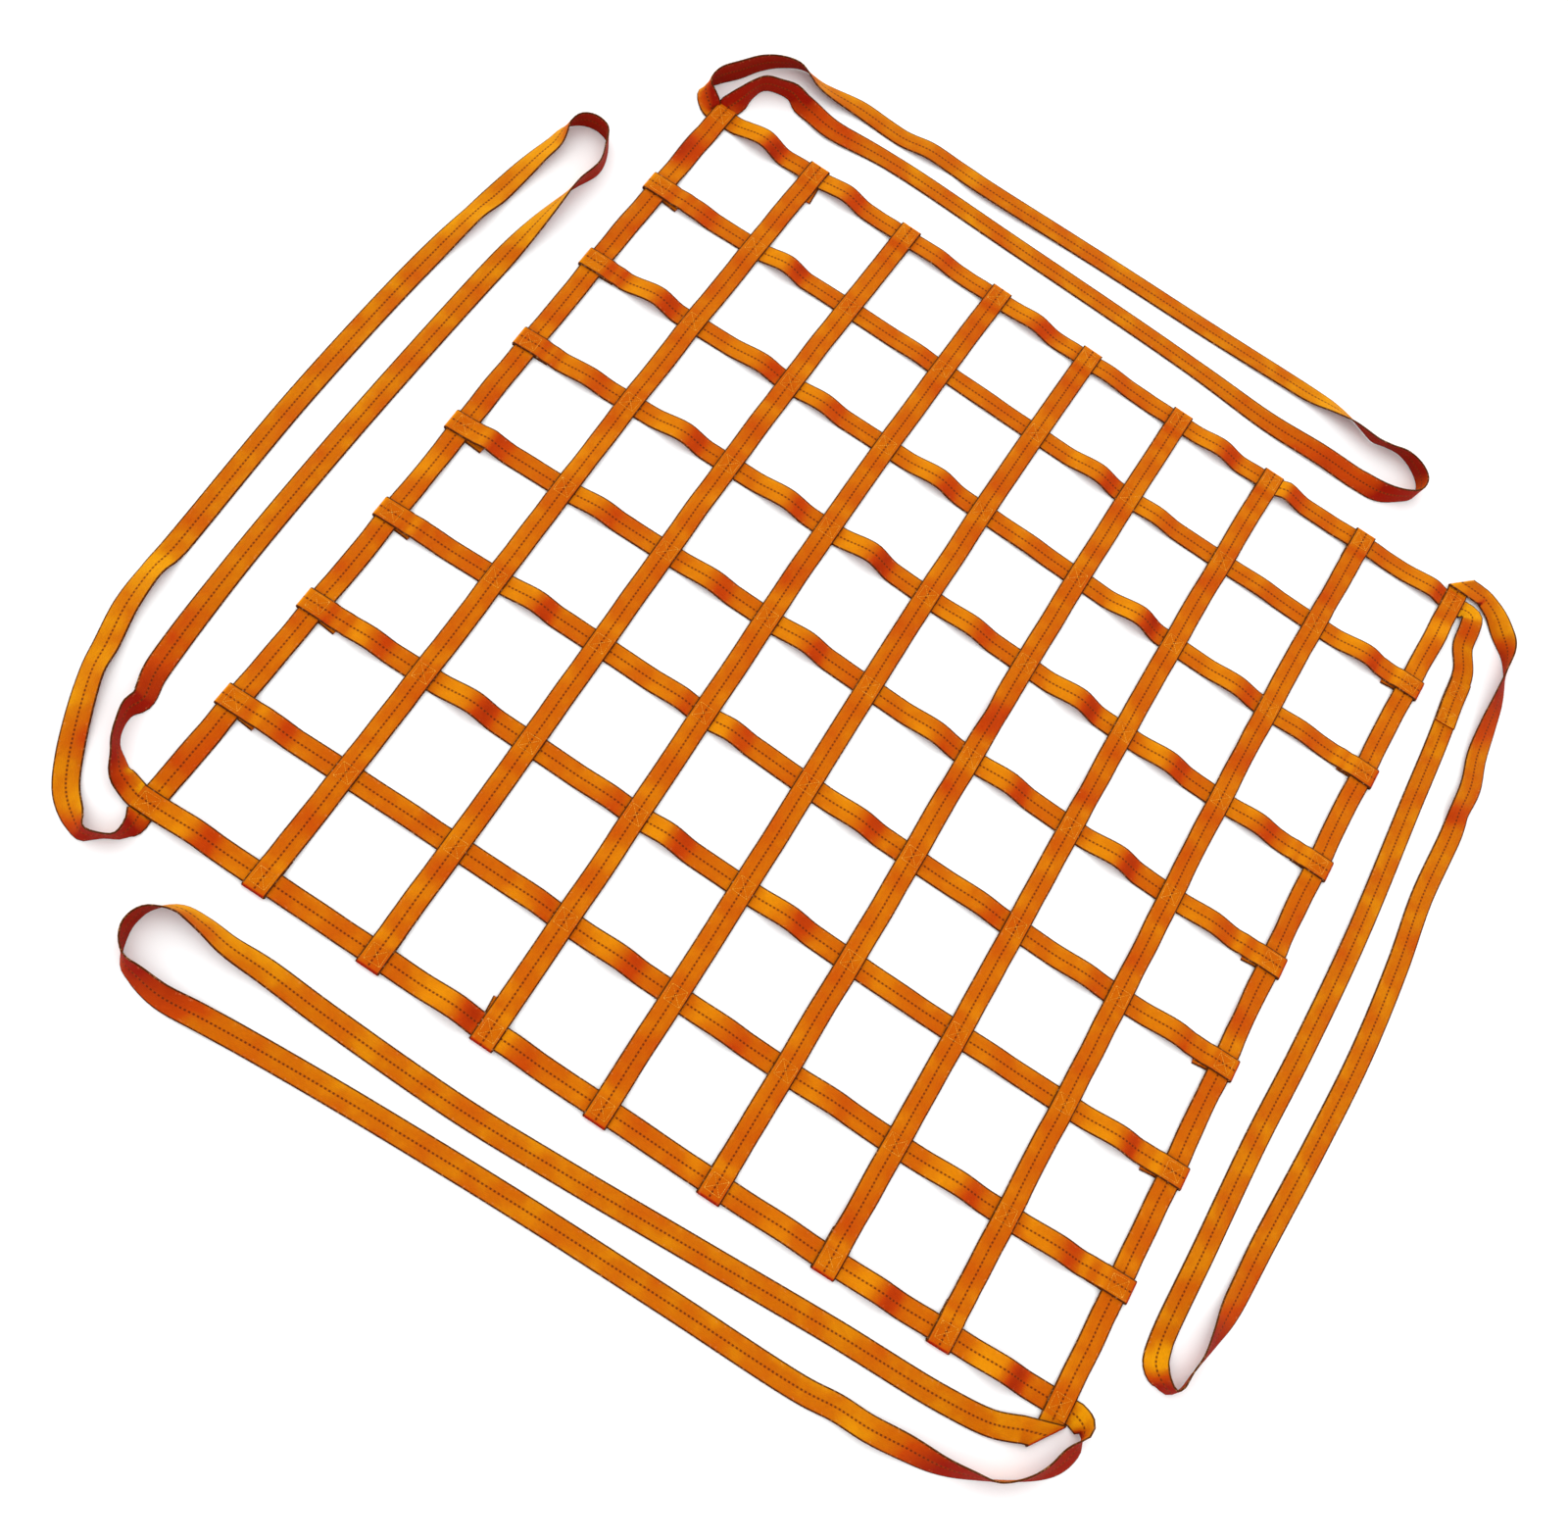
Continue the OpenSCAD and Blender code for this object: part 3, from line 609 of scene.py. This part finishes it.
def curve_point(p0, p1, p2, p3, u):
    """A smooth curve through four points, at the share u of the way from the second to the third."""
    def knot(t, a, b):
        return t + max(math.sqrt(np.linalg.norm(b - a)), 0.003)

    def mix(a, b, ta, tb, t):
        return (a * (tb - t) + b * (t - ta)) / (tb - ta)

    t1 = knot(0, p0, p1)
    t2 = knot(t1, p1, p2)
    t3 = knot(t2, p2, p3)
    t = t1 + (t2 - t1) * u
    a1, a2, a3 = mix(p0, p1, 0, t1, t), mix(p1, p2, t1, t2, t), mix(p2, p3, t2, t3, t)
    return mix(mix(a1, a2, 0, t2, t), mix(a2, a3, t1, t3, t), t1, t2, t)


def station_sides(route, centres, line, first_way, last_way):
    """Direction across the webbing at each station. Both runs lie straight along at the lift line."""
    last = len(route) - 1
    sides = []
    for i, s in enumerate(route):
        if i == 0:
            way = first_way
        elif i == last:
            way = last_way
        elif s[0] == line:
            way = np.array([1.0 if i < last / 2 else -1.0, 0, 0])
        else:
            way = unit(centres[i + 1] - centres[i - 1])
        tilt = math.radians(s[2])
        sides.append(unit([-way[1], way[0], 0]) * math.cos(tilt) + np.array([0, 0, math.sin(tilt)]))
    return sides


def route_rings(route, line, first_way, last_way):
    """Centres, directions of travel and directions across of a sling's rings, from its stations."""
    centres = [station_centre(s) for s in route]
    sides = station_sides(route, centres, line, first_way, last_way)
    last = len(route) - 1
    points, across = [], []
    for i in range(last):
        around = [centres[max(i - 1, 0)], centres[i], centres[i + 1], centres[min(i + 2, last)]]
        steps = max(1, round(float(np.linalg.norm(centres[i + 1] - centres[i])) / RING_STEP))
        for k in range(steps):
            u = k / steps
            points.append(curve_point(*around, u) if k else centres[i])
            across.append(unit(sides[i] * (1 - u) + sides[i + 1] * u))
    points, across = np.array(points + [centres[-1]]), np.array(across + [sides[-1]])
    for _ in range(TWIST_SMOOTHING):
        across[1:-1] = unit(across[:-2] + 2 * across[1:-1] + across[2:])
    way = unit(np.gradient(points, axis=0))
    way[0], way[-1] = first_way, last_way
    across = unit(across - way * (across * way).sum(1, keepdims=True))
    return points, way, across


def flat_fold(first, turn, last, leave_height, side_sign):
    """Edges and normals of webbing folded flat along a diagonal, from first, over turn, to last."""
    first, turn, last = (np.array(p, float) for p in (first, turn, last))
    flat = np.array([1, 1, 0])
    come, leave = unit((turn - first) * flat), unit((last - turn) * flat)
    line, outward = unit(come + leave), unit(come - leave)
    side_in = side_sign * np.array([-come[1], come[0], 0])
    line = line * np.sign(line @ side_in)
    reach = line / (line @ side_in)
    side_out = np.array([-leave[1], leave[0], 0])
    side_out = side_out * np.sign(side_out @ line)
    radius = (turn[2] - leave_height) / 2
    up = np.array([0, 0, 1.0])
    face_in = np.cross(come, side_in)
    axis = turn - up * radius
    before, around, after = FOLD_STEPS
    rings = []
    for t in np.linspace(0, 1, before, endpoint=False):
        centre = first + (turn - first) * t
        centre[2] = first[2] + (turn[2] - first[2]) * float(ease(1.4 * t))
        rings.append((centre, side_in * (1 - t) + reach * t, face_in))
    for a in np.radians(np.linspace(90, -90, around)) * np.sign(radius):
        spoke = outward * math.cos(a) + up * math.sin(a)
        rings.append((axis + spoke * abs(radius), reach, spoke * face_in[2] * np.sign(radius)))
    low = rings[-1][0]
    for t in np.linspace(0, 1, after + 1)[1:]:
        centre = low + (last - low) * t
        rings.append((centre, reach * (1 - t) + side_out * t, -face_in))
    centres, sides, faces = (np.array([r[k] for r in rings]) for k in range(3))
    return centres - sides * HALF_W, centres + sides * HALF_W, faces


def edges_of(points, way, across):
    return points - across * HALF_W, points + across * HALF_W, np.cross(way, across)


def hidden_lap(parts, at_start):
    """Carries the sling a little further under the border that it is sewn to."""
    right, left, face = parts
    a = 0 if at_start else -1
    way = np.array([0, -HIDDEN_LAP, 0] if at_start else [HIDDEN_LAP, 0, 0])
    extra = (right[a] + way, left[a] + way, face[a])
    if at_start:
        return tuple(np.concatenate([[e], p]) for e, p in zip(extra, parts))
    return tuple(np.concatenate([p, [e]]) for e, p in zip(extra, parts))


def to_world(corner, points, is_direction=False):
    x, y, turn = CORNERS[corner]
    c, s = round(math.cos(math.radians(turn))), round(math.sin(math.radians(turn)))
    moved = points @ np.array([[c, s, 0], [-s, c, 0], [0, 0, 1]])
    return moved if is_direction else moved + np.array([x, y, 0])


def sling_parts(name):
    """Right edge, left edge and face normal of a sling's rings, in its corner's own frame."""
    route, line = ROUTES[name], LIFT_LINES[name]
    out, along = np.array([0, 1.0, 0]), np.array([1.0, 0, 0])
    if name == "right":
        parts = edges_of(*route_rings(route, line, out, -out))
        fold = flat_fold(station_centre(route[-1]), (*RIGHT_FOLD, FOLD_HIGH), (-HALF_W, 0, RAISED),
                         RAISED, -1)
        parts = tuple(np.concatenate([p, f[1:]]) for p, f in zip(parts, fold))
        return hidden_lap(parts, True)
    if name == "front":
        way = unit([route[0][0] - FRONT_FOLD[0], route[0][1] - FRONT_FOLD[1], 0])
        parts = edges_of(*route_rings(route, line, way, along))
        fold = flat_fold((0, HALF_W, RAISED), (*FRONT_FOLD, RAISED), station_centre(route[0]),
                         FOLD_HIGH, 1)
        parts = tuple(np.concatenate([f[:-1], p]) for p, f in zip(parts, fold))
        return hidden_lap(parts, False)
    return hidden_lap(edges_of(*route_rings(route, line, out, along)), False)


def sling(name, index, material):
    """One endless sling from corner to corner, lying straight along the edge at its lift line."""
    right, left, face = sling_parts(name)
    right, left = to_world(name, right), to_world(name, left)
    face = to_world(name, face, True)
    s = lengths((right + left) / 2)
    offset = index * STRAP_OFFSET
    piece = ribbon(f"sling_{name}_webbing", right, left, face, s + offset, material)
    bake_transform(piece)
    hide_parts(f"sling_{name}_root", f"sling_{name}")
    return piece


def splice_rings():
    """Rings of the right-hand sling under its sewn overlap, in the world frame."""
    right, left, face = sling_parts("right")
    middle = (right + left) / 2
    outgoing = np.arange(len(middle)) < len(middle) / 2
    inside = outgoing & (middle[:, 0] > SPLICE[0]) & (middle[:, 0] < SPLICE[1])
    return (to_world("right", right[inside]), to_world("right", left[inside]),
            to_world("right", face[inside], True))


def splice_overlap(index, material):
    right, left, face = splice_rings()
    right, left = right + face * LAYER, left + face * LAYER
    s = lengths((right + left) / 2) + index * STRAP_OFFSET
    return ribbon("splice_overlap_webbing", right, left, face, s, material)


# ---- Stitching ----

def box_dashes():
    """Place and heading of each stitch of a box with a cross in it."""
    corners = [np.array(c) * BOX_HALF for c in ((-1, -1), (1, -1), (1, 1), (-1, 1))]
    pairs = [(0, 1), (1, 2), (2, 3), (3, 0), (0, 2), (1, 3)]
    dashes = []
    for a, b in pairs:
        run = corners[b] - corners[a]
        count = round(float(np.linalg.norm(run)) / STITCH_PITCH)
        heading = math.atan2(run[1], run[0])
        dashes += [(corners[a] + run * (k + 0.5) / count, heading) for k in range(count)]
    return dashes


def dash_shape():
    """Points and faces of one stitch: a short plump thread that dips into the webbing at both ends."""
    ring = [(0, 1), (0.8, 0.5), (0.8, -0.5), (0, -1), (-0.8, -0.5), (-0.8, 0.5)]
    points = [(-0.5, 0, -0.5)]
    for x, size in ((-0.34, 0.8), (0, 1.0), (0.34, 0.8)):
        points += [(x, y * size, z * size) for y, z in ring]
    points.append((0.5, 0, -0.5))
    n = len(ring)
    faces = [(0, 1 + (c + 1) % n, 1 + c) for c in range(n)]
    for k in range(2):
        a = 1 + k * n
        faces += [(a + c, a + (c + 1) % n, a + n + (c + 1) % n, a + n + c) for c in range(n)]
    a = 1 + 2 * n
    faces += [(a + c, a + (c + 1) % n, a + n) for c in range(n)]
    scale = np.array([STITCH_LONG, THREAD_WIDE / 2, THREAD_HIGH / 2])
    return np.array(points) * scale, faces


def stitches(name, boxes, material, bend=True):
    """Every stitch of a set of boxes. A box is its centre and its X, Y and Z directions."""
    shape, shape_faces = dash_shape()
    points, faces = [], []
    for centre, axes in boxes:
        turn = draw.uniform(-BOX_TURN, BOX_TURN)
        shift_x = draw.uniform(-BOX_SHIFT, BOX_SHIFT)
        shift_y = draw.uniform(-BOX_SHIFT, BOX_SHIFT)
        cb, sb = math.cos(turn), math.sin(turn)
        for (x, y), heading in box_dashes():
            heading += draw.uniform(-STITCH_TURN, STITCH_TURN) + turn
            c, s = math.cos(heading), math.sin(heading)
            place = np.array([x * cb - y * sb + shift_x, x * sb + y * cb + shift_y, 0])
            local = shape @ np.array([[c, s, 0], [-s, c, 0], [0, 0, 1]]) + place
            first = len(points) * len(shape)
            points.append(centre + local @ axes)
            faces += [tuple(first + i for i in f) for f in shape_faces]
    points = np.concatenate(points)
    if bend:
        points = bend_of_net(points)
    along = np.tile(shape[:, 0], len(points) // len(shape))
    obj = mesh_object(name, points, faces, {"along": along}, material)
    obj.data.polygons.foreach_set("use_smooth", [True] * len(faces))
    return obj


def flat_boxes(places, height):
    return [(np.array([x, y, height]), np.eye(3)) for x, y in places]


def splice_boxes():
    right, left, face = splice_rings()
    middle = (right + left) / 2
    s = lengths(middle)
    boxes = []
    for place in (HALF_W, s[-1] - HALF_W):
        k = int(np.searchsorted(s, place))
        way, side = unit(middle[k + 1] - middle[k - 1]), unit(left[k] - right[k])
        boxes.append((middle[k] + face[k] * (LAYER + HALF_T), np.array([way, side, face[k]])))
    return boxes


# ---- Room ----

def add_floor():
    """Plain white paper, half a millimetre below the webbing so that the two faces never meet."""
    bpy.ops.mesh.primitive_plane_add(size=24, location=(0, 0, -0.0005))
    floor = bpy.context.object
    floor.name = "floor"
    material = bpy.data.materials.new("floor_paper")
    material.use_nodes = True
    shader = material.node_tree.nodes["Principled BSDF"]
    shader.inputs["Base Color"].default_value = (0.95, 0.95, 0.95, 1)
    shader.inputs["Roughness"].default_value = 0.9
    floor.data.materials.append(material)


def add_lamp(name, place, softness, power):
    """A sun that shines from its place towards the middle of the net."""
    data = bpy.data.lights.new(name, "SUN")
    data.angle = math.radians(softness)
    data.energy = power
    lamp = bpy.data.objects.new(name, data)
    x, y, z = place
    lamp.location = place
    lamp.rotation_euler = (math.atan2(math.hypot(x, y), z), 0, math.atan2(x, -y))
    bpy.context.scene.collection.objects.link(lamp)


def add_light():
    world = bpy.data.worlds.new("studio")
    bpy.context.scene.world = world
    world.use_nodes = True
    background = world.node_tree.nodes["Background"]
    background.inputs["Color"].default_value = (1, 1, 1, 1)
    background.inputs["Strength"].default_value = 1.2
    add_lamp("key", (-2.6, 2.1, 2.6), 90, 1.0)
    bpy.context.scene.view_settings.view_transform = "Standard"


# ---- The whole net ----

def hand_over(piece, node):
    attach(piece, "net")
    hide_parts(node)


def build_slings(sling_webbing):
    for k, name in enumerate(CORNERS):
        sling(name, 40 + k, sling_webbing)
    hand_over(splice_overlap(46, sling_webbing), "splice_overlap")


def build_net(webbing):
    back_left, back_right, front_left, front_right = (
        np.array(p) for p in ((-HALF, HALF), (HALF, HALF), (-HALF, -HALF), (HALF, -HALF)))
    borders = {
        "border_front": (front_left, front_right, False, True),
        "border_back": (back_left, back_right, True, True),
        "border_left": (front_left, back_left, True, False),
        "border_right": (front_right, back_right, False, False)}
    for k, (name, ends) in enumerate(borders.items()):
        cells = slack(BORDER_HUMPS.get(name, [FLAT_CELL] * CELLS), LEANS, name)
        hand_over(border(name + "_webbing", k, *ends, cells, webbing), name)
    for j in range(1, CELLS):
        cells = slack(ROW_HUMPS[j], {}, j)
        piece = mesh_strap(f"row_{j}_webbing", 10 + j, j * PITCH - HALF, False, row_height, cells,
                           ROW_TAILS.get(j, PLAIN_TAILS), webbing)
        hand_over(piece, f"row_{j}")
    for i in range(1, CELLS):
        cells = slack([FLAT_CELL] * CELLS, LEANS, i)
        piece = mesh_strap(f"column_{i}_webbing", 20 + i, i * PITCH - HALF, True, column_height, cells,
                           COLUMN_TAILS.get(i, PLAIN_TAILS), webbing)
        hand_over(piece, f"column_{i}")


def build_stitching(thread):
    mid, top = LAYER + THICK, NET_TOP
    crossings = [(x, y) for x in CROSSINGS for y in CROSSINGS]
    edges = [(side * HALF, y) for y in CROSSINGS for side in (-1, 1)]
    edges += [(x, side * HALF) for x in CROSSINGS for side in (-1, 1)]
    corners = [(x, y) for x in (-HALF, HALF) for y in (-HALF, HALF)]
    sets = {"crossing_stitches": flat_boxes(crossings, mid), "border_stitches": flat_boxes(edges, top),
            "corner_stitches": flat_boxes(corners, mid)}
    for name, boxes in sets.items():
        hand_over(stitches(name + "_thread", boxes, thread), name)
    hand_over(stitches("splice_stitches_thread", splice_boxes(), thread, bend=False),
              "splice_stitches")


add_camera()
webbing = webbing_material("orange_webbing", 0.130, 0.26, 0.35, 0.0)
build_slings(webbing_material("orange_sling_webbing", 0.148, 0.05, 0.45, 3.0))
build_net(webbing)
build_stitching(thread_material())
add_floor()
add_light()
